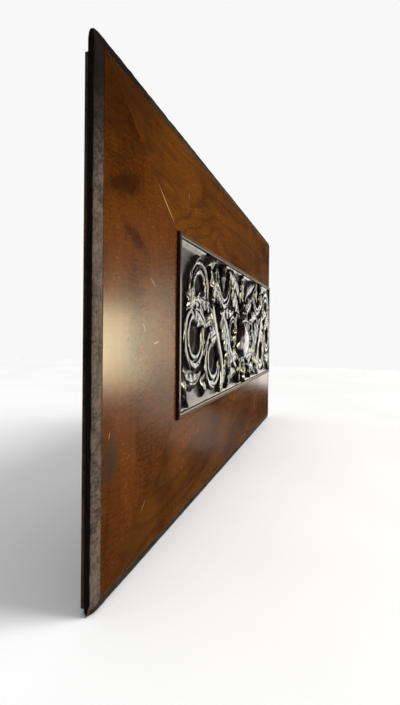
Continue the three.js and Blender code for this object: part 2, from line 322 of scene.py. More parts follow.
def bumps(x, z, size, seed):
    """Soft random numbers from -1 to 1 over the face, about as wide as size."""
    values = [noise.noise(Vector((a / size, b / size, seed))) for a, b in zip(x.ravel(), z.ravel())]
    return np.array(values).reshape(x.shape)


def point_places(piece):
    """The places of a piece's points, in metres."""
    places = np.empty(len(piece.data.vertices) * 3)
    piece.data.vertices.foreach_get("co", places)
    return places.reshape(-1, 3)


# Paths on the panel's face

def sweep(start, handle1, handle2, end):
    corners = np.array([start, handle1, handle2, end], float)

    def path(t):
        s = 1.0 - t
        shares = (s ** 3, 3 * s * s * t, 3 * s * t * t, t ** 3)
        return sum(share[..., None] * corner for share, corner in zip(shares, corners))
    return path


def place(path, t, offset, lift):
    """Points beside a path: offset across it and lifted from the ground, in the row frame."""
    ahead = 0.002
    direction = path(np.minimum(t + ahead, 1.0)) - path(np.maximum(t - ahead, 0.0))
    direction = direction / np.linalg.norm(direction, axis=-1, keepdims=True)
    centre = path(t)
    x = centre[..., 0] + direction[..., 1] * offset
    z = centre[..., 1] - direction[..., 0] * offset
    return np.stack([x, GROUND_FRONT - lift, z], axis=-1)


def carve(path, t, share, half_width, lift, scallop=1.0, under_cut=UNDER_CUT):
    """A carved form: its crown from lift, then walls that run in slightly and root in the ground."""
    share = share * scallop + 0 * lift
    first = share[:, :1]
    last = share[:, -1:]
    wall = (1.0 + under_cut) / 2
    root_lift = np.full_like(first, -ROOT_DEPTH)
    all_t = np.hstack([t[:, :1], t[:, :1], t, t[:, -1:], t[:, -1:]])
    all_share = np.hstack([under_cut * first, wall * first, share, wall * last, under_cut * last])
    all_lift = np.hstack([root_lift, lift[:, :1] / 2, lift, lift[:, -1:] / 2, root_lift])
    return loft(place(path, all_t, all_share * half_width, all_lift))


def rounded_ends(t, share):
    """Goes from 0 to 1 and back to 0 like a half circle within that share of both ends."""
    depth = np.clip(np.minimum(t, 1.0 - t) / share, 0.0, 1.0)
    return np.sqrt(depth * (2.0 - depth))


def between(ends, t):
    return ends[0] + (ends[1] - ends[0]) * t


# Carved forms

def band_section(share):
    """A band with two soft cheeks, a gouged line between them and rounded edges."""
    cheek_drop = 0.10
    edge_drop = 0.18
    line_depth = 0.22
    line_offset = 0.1
    line_half_width = 0.15
    crown_drop = 0.07
    reach = np.abs(share)
    edge = cheek_drop * smooth_step(0.62, 0.92, reach) + edge_drop * smooth_step(0.88, 1.0, reach)
    line = line_depth * np.exp(-((share + line_offset) / line_half_width) ** 2)
    crown = crown_drop * ((reach - 0.5) / 0.5) ** 2
    return 1.0 - edge - line - crown


def lobed_edge(t, outward, lobes):
    """How deep the notches between lobes cut an outer edge, and how far the edge draws in there."""
    notch_depth = 0.30
    notch_half_width = 0.09
    draw_in = 0.20
    sweep_back = 0.8
    outer = smooth_step(0.05, 1.0, outward)
    phase = lobes * t - sweep_back * outer
    from_notch = np.abs(phase - np.round(phase))
    notch = np.exp(-(from_notch / notch_half_width) ** 2)
    return notch_depth * outer * notch, 1.0 - draw_in * smooth_step(0.7, 1.0, outward) * notch


@dataclass
class Scroll:
    """A band that winds in, tapering, and what grows on it."""

    centre: tuple
    radii: tuple
    start: float
    turn: float
    half_widths: tuple
    height: float = SCROLL_HEIGHT
    leaflet_shares: tuple = ()
    beaded: bool = False

    def path(self, t):
        shrink = np.sqrt(np.clip(1.0 - t, 0.0, 1.0))
        radius = self.radii[1] + (self.radii[0] - self.radii[1]) * shrink
        angle = np.radians(self.start + self.turn * t)
        x = self.centre[0] + radius * np.cos(angle)
        z = self.centre[1] + radius * np.sin(angle)
        return np.stack([x, z], axis=-1)

    def rise(self, t):
        return self.height * (1.0 + (SCROLL_END_SHARE - 1.0) * t)

    def band(self):
        """The band itself, with lobes along its outside."""
        last = 0.985
        end_share = 0.04
        least_width = 0.12
        stations = int(abs(self.turn) / BAND_DEGREES_PER_STATION)
        t = np.linspace(0.0, last, stations)[:, None]
        share = np.linspace(-1.0, 1.0, BAND_POINTS_ACROSS)[None, :]
        half_width = between(self.half_widths, t)
        half_width = half_width * np.maximum(rounded_ends(t / last, end_share), least_width)
        outward = share * np.sign(self.turn)
        lobes = round(math.radians(abs(self.turn)) * self.radii[0] / LOBE_LENGTH)
        notch, scallop = lobed_edge(t, outward, lobes)
        lift = self.rise(t) * (band_section(outward) - notch)
        return carve(self.path, t + 0 * share, share, half_width, lift, scallop)

    def leaflets(self):
        """The leaflets whose tips stay on the sunk ground."""
        ahead = 0.01
        forms = []
        for share in self.leaflet_shares:
            root = self.path(np.array(share))
            forward = self.path(np.array(share + ahead)) - root
            forward = forward / np.linalg.norm(forward)
            outward = root - np.array(self.centre)
            outward = outward / np.linalg.norm(outward)
            edge = between(self.half_widths, share)
            corners = [tuple(root)]
            for out, along in LEAFLET_REACHES:
                beside = root + outward * (edge + out * LEAFLET_LENGTH)
                corners.append(tuple(beside + forward * (along * LEAFLET_LENGTH)))
            x, z = corners[-1]
            inside_width = abs(x) < PANEL_HALF_WIDTH - LEAFLET_MARGIN
            inside_height = abs(z) < PANEL_HALF_HEIGHT - LEAFLET_MARGIN
            if x < 0.0 and inside_width and inside_height:
                forms.append(leaf(corners, LEAFLET_HALF_WIDTH, LEAFLET_LOBES, LEAFLET_HEIGHT,
                                  LEAFLET_STATIONS_PER_LOBE))
        return forms

    def beads(self):
        """A row of beads in the gouged line, where the scroll has them."""
        if not self.beaded:
            return []
        samples = 400
        t = np.linspace(*BEAD_RUN, samples)
        run = np.concatenate([[0.0], np.cumsum(np.linalg.norm(np.diff(self.path(t), axis=0), axis=1))])
        shares = np.interp(np.arange(0.0, run[-1], BEAD_SPACING), run, t)
        lift = self.rise(shares) - BEAD_RADIUS / 2
        offset = BEAD_OFFSET_SHARE * between(self.half_widths, shares)
        return [ball(middle, BEAD_RADIUS) for middle in place(self.path, shares, offset, lift)]

    def sheath(self):
        """The leaf that wraps the start."""
        behind = 2 * self.path(np.array(0.0)) - self.path(np.array(SHEATH_SHARES[1]))
        corners = [tuple(behind)] + [tuple(self.path(np.array(share))) for share in SHEATH_SHARES]
        half_width = self.half_widths[0] * SHEATH_WIDTH_SHARE
        return leaf(corners, half_width, SHEATH_LOBES, self.height + SHEATH_RISE)


def leaf(path, half_width, lobes, height=LEAF_HEIGHT, stations_per_lobe=LEAF_STATIONS_PER_LOBE):
    """A lobed leaf: each lobe is hollowed, a ridge runs to each notch, and a vein is cut down the middle."""
    stalk = 0.07
    tip = 0.95
    swept_forward = 0.09
    lobe_power = 0.6
    edge_drop = 0.24
    hollow_depth = 0.16
    vein_depth = 0.14
    vein_half_width = 0.07
    least_width = 0.8
    t = np.linspace(0.0, 1.0, lobes * stations_per_lobe + 1)[:, None]
    share = np.linspace(-1.0, 1.0, LEAF_POINTS_ACROSS)[None, :]
    reach = np.abs(share)
    lobe = np.abs(np.cos(np.pi * lobes * t)) ** lobe_power
    outline = np.sin(np.pi * (stalk + (tip - stalk) * t))
    width = half_width * outline * (1.0 - LEAF_LOBE_DEPTH + LEAF_LOBE_DEPTH * lobe)
    crown = 1.0 - edge_drop * reach ** 4.0
    hollow = hollow_depth * lobe ** 3 * smooth_step(0.12, 0.5, reach)
    hollow = hollow * (1.0 - 0.5 * smooth_step(0.75, 1.0, reach))
    vein = vein_depth * np.exp(-(share / vein_half_width) ** 2)
    rise = height * (LEAF_STALK_SHARE + (1.0 - LEAF_STALK_SHARE) * t)
    lift = rise * (crown - hollow - vein)
    along = t + swept_forward * reach * np.sin(np.pi * t)
    return carve(sweep(*path), along, share, np.maximum(width, least_width), lift)


def stem(path, half_widths, height):
    """A stem with a soft plain crown."""
    end_share = 0.06
    least_width = 0.2
    edge_drop = 0.30
    t = np.linspace(0.0, 1.0, STEM_STATIONS)[:, None]
    share = np.linspace(-1.0, 1.0, BAND_POINTS_ACROSS)[None, :]
    half_width = between(half_widths, t) * np.maximum(rounded_ends(t, end_share), least_width)
    crown = 1.0 - edge_drop * np.abs(share) ** 2.5
    return carve(sweep(*path), t + 0 * share, share, half_width, height * crown + 0 * t)


def ball(middle, radius):
    """A small bead."""
    polar = np.linspace(0.0, np.pi, BEAD_RINGS + 1)[1:-1][:, None]
    around = np.linspace(0.0, 2 * np.pi, BEAD_SIDES, endpoint=False)[None, :]
    x = middle[0] + radius * np.sin(polar) * np.cos(around)
    y = middle[1] + radius * np.sin(polar) * np.sin(around)
    z = middle[2] + radius * np.cos(polar) + 0 * around
    return loft(np.stack([x, y, z], axis=-1))


def bud(at, half_width, half_height, rise, grooves=0):
    """A berry, or with grooves a closed bud, half sunk in the ground."""
    groove_depth = 0.12
    polar = np.linspace(0.0, np.pi, BUD_RINGS + 1)[1:-1][:, None]
    around = np.linspace(0.0, 2 * np.pi, BUD_SEGMENTS, endpoint=False)[None, :]
    radius = 1.0 - groove_depth * np.abs(np.sin(grooves * around / 2)) * np.sin(polar)
    x = at[0] + half_width * radius * np.sin(polar) * np.cos(around)
    y = GROUND_FRONT + rise * radius * np.sin(polar) * np.sin(around)
    z = at[1] + half_height * np.cos(polar) + 0 * around
    return loft(np.stack([x, y, z], axis=-1))


def vase_half_width(t):
    quarter_turn = np.pi / 2
    swell = np.sin(quarter_turn * np.minimum(t / VASE_BELLY_SHARE, 1.0))
    below = VASE_FOOT_HALF_WIDTH + (VASE_BELLY_HALF_WIDTH - VASE_FOOT_HALF_WIDTH) * swell
    upper = np.clip((t - VASE_BELLY_SHARE) / (1.0 - VASE_BELLY_SHARE), 0.0, 1.0)
    shoulder = np.maximum(np.cos(quarter_turn * upper), 0.0) ** VASE_TAPER_POWER
    above = VASE_NECK_HALF_WIDTH + (VASE_BELLY_HALF_WIDTH - VASE_NECK_HALF_WIDTH) * shoulder
    return np.where(t < VASE_BELLY_SHARE, below, above)


def half_round(points_across):
    share = np.sin(np.linspace(-np.pi / 2, np.pi / 2, points_across))[None, :]
    return share, np.sqrt(np.maximum(1.0 - share ** 2, 0.0))


def vase():
    """The vase's belly and lip, the fruit in it, and the leaves above and below it."""
    t = np.linspace(0.0, 1.0, BELLY_STATIONS)[:, None]
    share, section = half_round(BELLY_POINTS_ACROSS)
    rise = VASE_NECK_HEIGHT + VASE_BELLY_RISE * np.sin(np.pi * t)
    third = (VASE_LIP_LEVEL - VASE_FOOT_LEVEL) / 3
    axis = sweep((0, VASE_FOOT_LEVEL), (0, VASE_FOOT_LEVEL + third),
                 (0, VASE_LIP_LEVEL - third), (0, VASE_LIP_LEVEL))
    forms = [carve(axis, t + 0 * share, share, vase_half_width(t), rise * section,
                   under_cut=VASE_UNDER_CUT)]

    share, section = half_round(ROUND_POINTS_ACROSS)
    end = LIP["half_length"]
    low = VASE_LIP_LEVEL - LIP["bow"] / 2
    high = VASE_LIP_LEVEL + LIP["bow"] / 2
    lip_path = sweep((-end, low), (-end / 3, high), (end / 3, high), (end, low))
    lip_width = LIP["half_width"] * np.maximum(rounded_ends(t, LIP["end_share"]), LIP["least_width"])
    forms.append(carve(lip_path, t + 0 * share, share, lip_width, LIP["height"] * section + 0 * t))

    for row, count in enumerate(FRUIT["rows"]):
        for k in range(count):
            at = (FRUIT["spacing"] * (k - (count - 1) / 2), FRUIT["first_row"] + FRUIT["row_step"] * row)
            forms.append(bud(at, FRUIT["radius"], FRUIT["radius"], FRUIT["rise"]))
    forms.append(leaf(**TALL_LEAF))
    forms.append(leaf(**HANGING_LEAF))
    return forms


def foliage():
    """The left half's scrolls, leaves and buds."""
    scrolls = [Scroll(**sizes) for sizes in SCROLLS.values()]
    forms = [stem(**sizes) for sizes in STEMS.values()]
    forms.extend(scroll.band() for scroll in scrolls)
    forms.extend(scroll.sheath() for scroll in scrolls)
    for scroll in scrolls:
        forms.extend(scroll.leaflets())
        forms.extend(scroll.beads())
    forms.extend(leaf(**sizes) for sizes in LEAVES.values())
    forms.extend(bud(**sizes) for sizes in BUDS.values())
    return forms


def rectangle_ring(half_width, half_height, depth, cells_x, cells_z):
    """Points round a rectangle, evenly spaced on each side, starting at its lower left corner."""
    x = np.linspace(-half_width, half_width, cells_x + 1)
    z = np.linspace(-half_height, half_height, cells_z + 1)
    bottom = [(a, -half_height) for a in x[:-1]]
    right = [(half_width, b) for b in z[:-1]]
    top = [(a, half_height) for a in x[:0:-1]]
    left = [(-half_width, b) for b in z[:0:-1]]
    return np.array([(a, depth, b) for a, b in bottom + right + top + left])


def panel_steps():
    """How far in and how deep each ring of the panel lies, from its back over the rim to the ground."""
    guard = 0.3
    wall_lean = 0.1
    wall_foot = 0.5
    return [
        (0.0, BOARD_BACK),
        (0.0, RIM_FRONT + ARRIS),
        (ARRIS, RIM_FRONT),
        (RIM_WIDTH - ARRIS - guard, RIM_FRONT),
        (RIM_WIDTH - ARRIS, RIM_FRONT),
        (RIM_WIDTH, RIM_FRONT + ARRIS),
        (RIM_WIDTH + wall_lean, RIM_FRONT + ARRIS + guard),
        (RIM_WIDTH + wall_foot, GROUND_FRONT - COVE_RISE),
    ]


def ground_depth(x, z, inner_width, inner_height):
    """Depth of the tooled ground, which coves up to the rim."""
    mark = noise.noise(Vector((x / TOOL_LENGTH, 0.0, z / TOOL_LENGTH)))
    from_rim = min(inner_width - abs(x), inner_height - abs(z))
    cove = COVE_RISE * max(0.0, 1.0 - from_rim / COVE_REACH) ** 2
    return GROUND_FRONT - TOOL_MARK * mark - cove


def panel_slab():
    """The panel without its carving: a rim with eased arrises, and the sunk ground."""
    cells_x = round(2 * PANEL_HALF_WIDTH / GROUND_CELL)
    cells_z = round(2 * PANEL_HALF_HEIGHT / GROUND_CELL)
    steps = panel_steps()
    rings = [
        rectangle_ring(PANEL_HALF_WIDTH - inset, PANEL_HALF_HEIGHT - inset, depth, cells_x, cells_z)
        for inset, depth in steps
    ]
    sides = len(rings[0])
    points = np.vstack(rings)
    faces = [list(range(sides))]
    for ring in range(len(rings) - 1):
        first = ring * sides
        for k in range(sides):
            following = (k + 1) % sides
            faces.append([first + k, first + following, first + sides + following, first + sides + k])

    inner_width = PANEL_HALF_WIDTH - steps[-1][0]
    inner_height = PANEL_HALF_HEIGHT - steps[-1][0]
    index = {}
    ground = []
    for i, x in enumerate(np.linspace(-inner_width, inner_width, cells_x + 1)):
        for j, z in enumerate(np.linspace(-inner_height, inner_height, cells_z + 1)):
            if 0 < i < cells_x and 0 < j < cells_z:
                index[i, j] = len(points) + len(ground)
                ground.append((x, ground_depth(x, z, inner_width, inner_height), z))
    last = (len(rings) - 1) * sides
    for i in range(cells_x):
        index[i, 0] = last + i
        index[cells_x - i, cells_z] = last + cells_x + cells_z + i
    for j in range(cells_z):
        index[cells_x, j] = last + cells_x + j
        index[0, cells_z - j] = last + 2 * cells_x + cells_z + j
    for i in range(cells_x):
        for j in range(cells_z):
            faces.append([index[i, j], index[i + 1, j], index[i + 1, j + 1], index[i, j + 1]])
    return make_object("panel_slab", np.vstack([points, ground]), faces)


def work_by_hand(panel):
    """Lets the carved faces wander a little in depth, as chisel and gouge leave them."""
    low = 1.0
    high = 4.5
    clear_of_rim = 1.0
    places = point_places(panel)
    x, y, z = places.T / MM
    inset = np.minimum(PANEL_HALF_WIDTH - np.abs(x), PANEL_HALF_HEIGHT - np.abs(z))
    on_carving = smooth_step(low, high, GROUND_FRONT - y) * (inset > RIM_WIDTH + clear_of_rim)
    for depth, length in zip(CHISEL_DEPTHS, CHISEL_LENGTHS):
        places[:, 1] -= depth * MM * on_carving * bumps(x, z, length, length)
    panel.data.vertices.foreach_set("co", places.ravel())


def carved_panel():
    """The slab and every carved form, joined into one closed mesh."""
    half = foliage()
    forms = half + [mirrored(form) for form in half] + vase()
    slab = panel_slab()
    group = bpy.data.collections.new("carved forms")
    bpy.context.scene.collection.children.link(group)
    for number, (points, faces) in enumerate(forms):
        form = make_object(f"form_{number}", points, faces)
        bpy.context.scene.collection.objects.unlink(form)
        group.objects.link(form)
    join = slab.modifiers.new("join", "BOOLEAN")
    join.operation = "UNION"
    join.operand_type = "COLLECTION"
    join.collection = group
    join.solver = "MANIFOLD"
    joined = slab.evaluated_get(bpy.context.evaluated_depsgraph_get())
    panel = bpy.data.objects.new("carved_relief_panel", bpy.data.meshes.new_from_object(joined))
    bpy.context.scene.collection.objects.link(panel)
    for form in list(group.objects) + [slab]:
        bpy.data.objects.remove(form)
    bpy.data.collections.remove(group)
    work_by_hand(panel)
    shade_smooth(panel, CARVING_SHARP_DEGREES)
    return panel


# Border boards

BOARD_CELL = 3.0
FIELD_POINTS_ACROSS = 22
END_STATIONS = np.array([0.0, 0.5, 1.0, 1.7, 2.6])
MITRE_LINE = 0.04
GROOVE_WIDTH = 0.8
GROOVE_DEPTH = 0.6
CORNER_RADIUS = 3.5
BACK_MARK = -30.0
BOARD_SEEDS = (7.0, 3.0)

# Wear on the boards: depth and length of the ripple, the roughness and the worn edge, the chip, the tips
RIPPLE = (0.15, 55.0)
STRIP_ROUGH = ((0.35, 14.0), (0.22, 3.2))
EDGE_WEAR = (0.45, 8.0)
CHIP = dict(reach=9.0, depth=2.4, uneven=0.25, length=4.0, least_thickness=1.0)
TIP_REACH = 7.0
TIP_THINNING = 0.8


def field_depth(inset):
    """Depth of the front face of a board at a distance from its outer edge."""
    strip = EDGE_FRONT - STRIP_RISE * np.minimum(inset / STRIP_WIDTH, 1.0)
    share = np.clip((inset - STRIP_WIDTH) / (BORDER_WIDTH - STRIP_WIDTH), 0.0, 1.0)
    return strip - (FIELD_RISE - STRIP_RISE) * share


def board_section():
    """Inset, depth and mark round a board's section; a mark below zero is the side or the back."""
    inner = BORDER_WIDTH
    back_ease = 0.8
    arris_ease = 0.2
    front_ease = 0.9
    side_start = 0.6
    joint_ease = 0.4
    field_start = 13.0
    groove_start = STRIP_WIDTH - GROOVE_WIDTH / 2
    groove_end = STRIP_WIDTH + GROOVE_WIDTH / 2
    back = [(inset, BOARD_BACK, BACK_MARK) for inset in (inner, inner / 2, back_ease)]
    side_depths = np.linspace(BOARD_BACK - side_start, EDGE_FRONT + front_ease, 4)
    side = [(0.0, depth, EDGE_FRONT - depth) for depth in side_depths]
    arris = [(arris_ease, EDGE_FRONT + arris_ease, 0.0)]
    strip_insets = np.linspace(front_ease, groove_start, 6)
    strip = [(inset, field_depth(inset), inset) for inset in strip_insets]
    groove = [(STRIP_WIDTH, field_depth(STRIP_WIDTH) + GROOVE_DEPTH, STRIP_WIDTH)]
    across = np.linspace(field_start, inner - joint_ease, FIELD_POINTS_ACROSS)
    field = [(inset, field_depth(inset), inset) for inset in (groove_end, groove_end + 0.5, *across)]
    joint = [(inner, FIELD_FRONT + joint_ease, inner)]
    return np.array(back + side + arris + strip + groove + field + joint)


def ease_corners(x, z):
    """Rounds the plaque's four corners by drawing in the points outside an arc."""
    from_side = HALF_WIDTH - np.abs(x)
    from_end = HALF_HEIGHT - np.abs(z)
    reach = np.hypot(CORNER_RADIUS - from_side, CORNER_RADIUS - from_end)
    outside = (from_side < CORNER_RADIUS) & (from_end < CORNER_RADIUS) & (reach > CORNER_RADIUS)
    draw_in = np.where(outside, CORNER_RADIUS / np.maximum(reach, CORNER_RADIUS), 1.0)
    eased_side = CORNER_RADIUS - (CORNER_RADIUS - from_side) * draw_in
    eased_end = CORNER_RADIUS - (CORNER_RADIUS - from_end) * draw_in
    return np.sign(x) * (HALF_WIDTH - eased_side), np.sign(z) * (HALF_HEIGHT - eased_end)


def chipped(x, y, z, seed):
    """Depth of the front where the lower left corner is chipped."""
    from_chip = np.hypot(x + HALF_WIDTH, z + HALF_HEIGHT) / CHIP["reach"]
    chip = np.clip(1.0 - from_chip + CHIP["uneven"] * bumps(x, z, CHIP["length"], seed), 0.0, 1.0)
    return np.minimum(y + CHIP["depth"] * smooth_step(0.0, 0.6, chip), BOARD_BACK - CHIP["least_thickness"])


def thin_tips(x, y, z):
    """Thins the boards towards the plaque's four tips, as on a rounded nose."""
    eased = CORNER_RADIUS * (math.sqrt(2.0) - 1.0)
    from_tip = (np.hypot(HALF_WIDTH - np.abs(x), HALF_HEIGHT - np.abs(z)) - eased) / TIP_REACH
    thin = TIP_THINNING * (1.0 - np.sqrt(1.0 - np.clip(1.0 - from_tip, 0.0, 1.0) ** 2))
    return y + thin * ((BOARD_BACK + EDGE_FRONT) / 2 - y)


def board(name, along, outward, half_length, reach):
    """One mitred board: along and outward are its directions on the face."""
    inset, depth, mark = board_section().T
    on_front = (mark > 0.0)[None, :]
    on_strip = ((mark >= 0.0) & (mark < STRIP_WIDTH - GROOVE_WIDTH))[None, :]
    on_edge = ((mark > -EDGE_THICKNESS) & (mark < 1.0))[None, :]
    near_end = END_STATIONS / half_length
    middle = np.linspace(-1.0, 1.0, round(2 * half_length / BOARD_CELL))[2:-2]
    t = np.concatenate([near_end - 1.0, middle, (1.0 - near_end)[::-1]])[:, None]
    run = t * (half_length - inset - MITRE_LINE)[None, :]
    out = reach - inset[None, :] + 0 * t
    x = along[0] * run + outward[0] * out
    z = along[1] * run + outward[1] * out
    seed = reach + BOARD_SEEDS[0] * outward[0] + BOARD_SEEDS[1] * outward[1]

    ripple = RIPPLE[0] * bumps(x, z, RIPPLE[1], seed)
    rough = sum(rough_depth * bumps(x, z, length, seed) for rough_depth, length in STRIP_ROUGH)
    y = depth[None, :] + np.where(on_front & ~on_strip, ripple, 0.0) + np.where(on_strip, rough, 0.0)
    worn = np.where(on_edge, EDGE_WEAR[0] + EDGE_WEAR[0] * bumps(x, z, EDGE_WEAR[1], seed + 1.0), 0.0)
    x, z = ease_corners(x - outward[0] * worn, z - outward[1] * worn)
    y = np.where(on_front | on_edge, chipped(x, y, z, seed), y)
    y = thin_tips(x, y, z)

    piece = make_object(name, *loft(np.stack([x, y, z], axis=-1)))
    store(piece, "inset", np.concatenate([np.tile(mark, len(t)), [BACK_MARK, BACK_MARK]]))
    from_mitre = half_length - inset[None, :] - np.abs(run)
    store(piece, "mitre", np.concatenate([from_mitre.ravel(), [0.0, 0.0]]))
    shade_smooth(piece, BOARD_SHARP_DEGREES)
    return piece


# Materials

class Finish:
    """A material being made, with short ways to add and join its nodes."""

    def __init__(self, name):
        self.material = bpy.data.materials.new(name)
        self.material.use_nodes = True
        self.tree = self.material.node_tree
        self.surface = self.tree.nodes["Principled BSDF"]

    def feed(self, socket, value):
        if isinstance(value, bpy.types.NodeSocket):
            self.tree.links.new(value, socket)
        else:
            socket.default_value = value

    def add(self, kind, settings, inputs):
        made = self.tree.nodes.new("ShaderNode" + kind)
        for key, value in settings.items():
            setattr(made, key, value)
        for key, value in inputs.items():
            self.feed(made.inputs[key], value)
        return made

    def object_place(self):
        return self.add("TexCoord", {}, {}).outputs["Object"]

    def attribute(self, name):
        return self.add("Attribute", {"attribute_name": name}, {}).outputs["Fac"]

    def swap_x_z(self, vector):
        parts = self.add("SeparateXYZ", {}, {"Vector": vector}).outputs
        swapped = {"X": parts["Z"], "Y": parts["Y"], "Z": parts["X"]}
        return self.add("CombineXYZ", {}, swapped).outputs["Vector"]

    def noise(self, vector, scale, detail=3.0, roughness=0.55, distortion=0.0):
        inputs = {"Vector": vector, "Scale": scale, "Detail": detail,
                  "Roughness": roughness, "Distortion": distortion}
        return self.add("TexNoise", {}, inputs).outputs["Fac"]

    def grain_noise(self, vector, stretch, detail, roughness=0.55, distortion=0.0):
        """Noise with a scale of its own along each axis."""
        stretched = self.add("Mapping", {}, {"Vector": vector, "Scale": stretch}).outputs["Vector"]
        return self.noise(stretched, 1.0, detail, roughness, distortion)

    def mark(self, vector, edge_noise, at, half_length, half_width, tilt):
        """One within an oval on the face, fading to nought at its uneven edge."""
        through = 1000.0
        unevenness = 0.6
        inputs = {"Vector": vector, "Location": (at[0] * MM, 0.0, at[1] * MM),
                  "Rotation": (0.0, -math.radians(tilt), 0.0),
                  "Scale": (half_length * MM, through, half_width * MM)}
        local = self.add("Mapping", {"vector_type": "TEXTURE"}, inputs).outputs["Vector"]
        reach = self.add("VectorMath", {"operation": "LENGTH"}, {0: local}).outputs["Value"]
        uneven = self.plus_part(reach, edge_noise, unevenness)
        return self.ramp(uneven, 0.5, 1.3, to_low=1.0, to_high=0.0)

    def math(self, operation, first, second):
        return self.add("Math", {"operation": operation}, {0: first, 1: second}).outputs[0]

    def part(self, value, share):
        return self.math("MULTIPLY", value, share)

    def plus_part(self, total, value, share):
        return self.math("ADD", total, self.part(value, share))

    def ramp(self, value, low, high, to_low=0.0, to_high=1.0):
        inputs = {"Value": value, "From Min": low, "From Max": high, "To Min": to_low, "To Max": to_high}
        return self.add("MapRange", {"interpolation_type": "SMOOTHSTEP"}, inputs).outputs["Result"]

    def mix(self, factor, first, second):
        settings = {"data_type": "RGBA", "blend_type": "MIX"}
        return self.add("Mix", settings, {0: factor, 6: first, 7: second}).outputs[2]

    def shade(self, factor, colours):
        """A colour between a dark and a light one."""
        return self.mix(factor, rgb(*colours[0]), rgb(*colours[1]))

    def tint(self, colour, mask, strength, pigment):
        """A colour with a pigment laid over it within a mask."""
        return self.mix(self.part(mask, strength), colour, rgb(*pigment))

    def bump(self, height, distance, strength, normal=None):
        inputs = {"Height": height, "Distance": distance, "Strength": strength}
        if normal is not None:
            inputs["Normal"] = normal
        return self.add("Bump", {}, inputs).outputs["Normal"]

    def set(self, **inputs):
        for key, value in inputs.items():
            self.feed(self.surface.inputs[key.replace("_", " ")], value)


def rgb(red, green, blue):
    return (red, green, blue, 1.0)


# Marks on the border boards: place on the face, half length, half width and tilt
STAIN = dict(at=(-360, -97), half_length=26, half_width=13, tilt=80)
DARK_CORNER = dict(at=(-372, 196), half_length=150, half_width=120, tilt=0)
LOW_CORNER = dict(at=(-372, -200), half_length=120, half_width=110, tilt=0)
DARK_PATCHES = (
    dict(at=(-345, 104), half_length=34, half_width=12, tilt=20),
    dict(at=(-330, 66), half_length=26, half_width=10, tilt=-35),
    dict(at=(-70, -118), half_length=16, half_width=4, tilt=60),
)
# The oval by the top left mitre holds a painted highlight along the joint
MITRE_PAINTED_HIGHLIGHT_OVAL = dict(at=(-284, 104), half_length=24, half_width=8, tilt=-45)
SCRATCHES = (
    dict(at=(-362, -80), half_length=3.5, half_width=0.5, tilt=75),
    dict(at=(-316, -146), half_length=7, half_width=0.6, tilt=60),
    dict(at=(-300, -15), half_length=6, half_width=0.8, tilt=15),
    dict(at=(-318, -3), half_length=5, half_width=0.5, tilt=-60),
    dict(at=(-305, 34), half_length=7, half_width=0.6, tilt=-40),
    dict(at=(-190, -112), half_length=6, half_width=0.6, tilt=50),
    dict(at=(-215, 132), half_length=5, half_width=0.5, tilt=85),
    dict(at=(366, -102), half_length=4, half_width=2, tilt=30),
)

# Colours of the border's marks; the pale by the mitre is a painted highlight, the corner black on the strip
# is painted shade, and the side's black is partly painted shade
GOLDEN_FLECK = (0.230, 0.095, 0.010)
STAIN_BROWN = (0.050, 0.030, 0.018)
SCRATCH_PALE = (0.55, 0.38, 0.22)
MITRE_PAINTED_HIGHLIGHT_PALE = (0.62, 0.40, 0.18)
STRIP_TOP_PAINTED_SHADE = (0.012, 0.007, 0.006)
SIDE_STAIN_AND_PAINTED_SHADE = (0.012, 0.007, 0.005)
DEEP_SHARE = 0.35

# Border woods: dark and light of the field and of the worn strip, whose light is partly painted sheen, and
# the strengths of the figure
WOODS = {
    "border_side_wood": dict(
        grain_along="z", field=((0.030, 0.007, 0.0006), (0.150, 0.040, 0.003)),
        # The side boards' strip light is partly painted sheen, paler than the worn wood itself
        strip=((0.036, 0.022, 0.016), (0.20, 0.145, 0.108)),
        ring_strength=0.10, streak_share=0.14, line_stretch=(900.0, 40.0, 40.0)),
    "border_long_wood": dict(
        grain_along="x", field=((0.050, 0.011, 0.0006), (0.180, 0.055, 0.004)),
        strip=((0.020, 0.012, 0.008), (0.10, 0.066, 0.042)),
        ring_strength=0.30, streak_share=0.34, line_stretch=(14.0, 800.0, 800.0)),
}


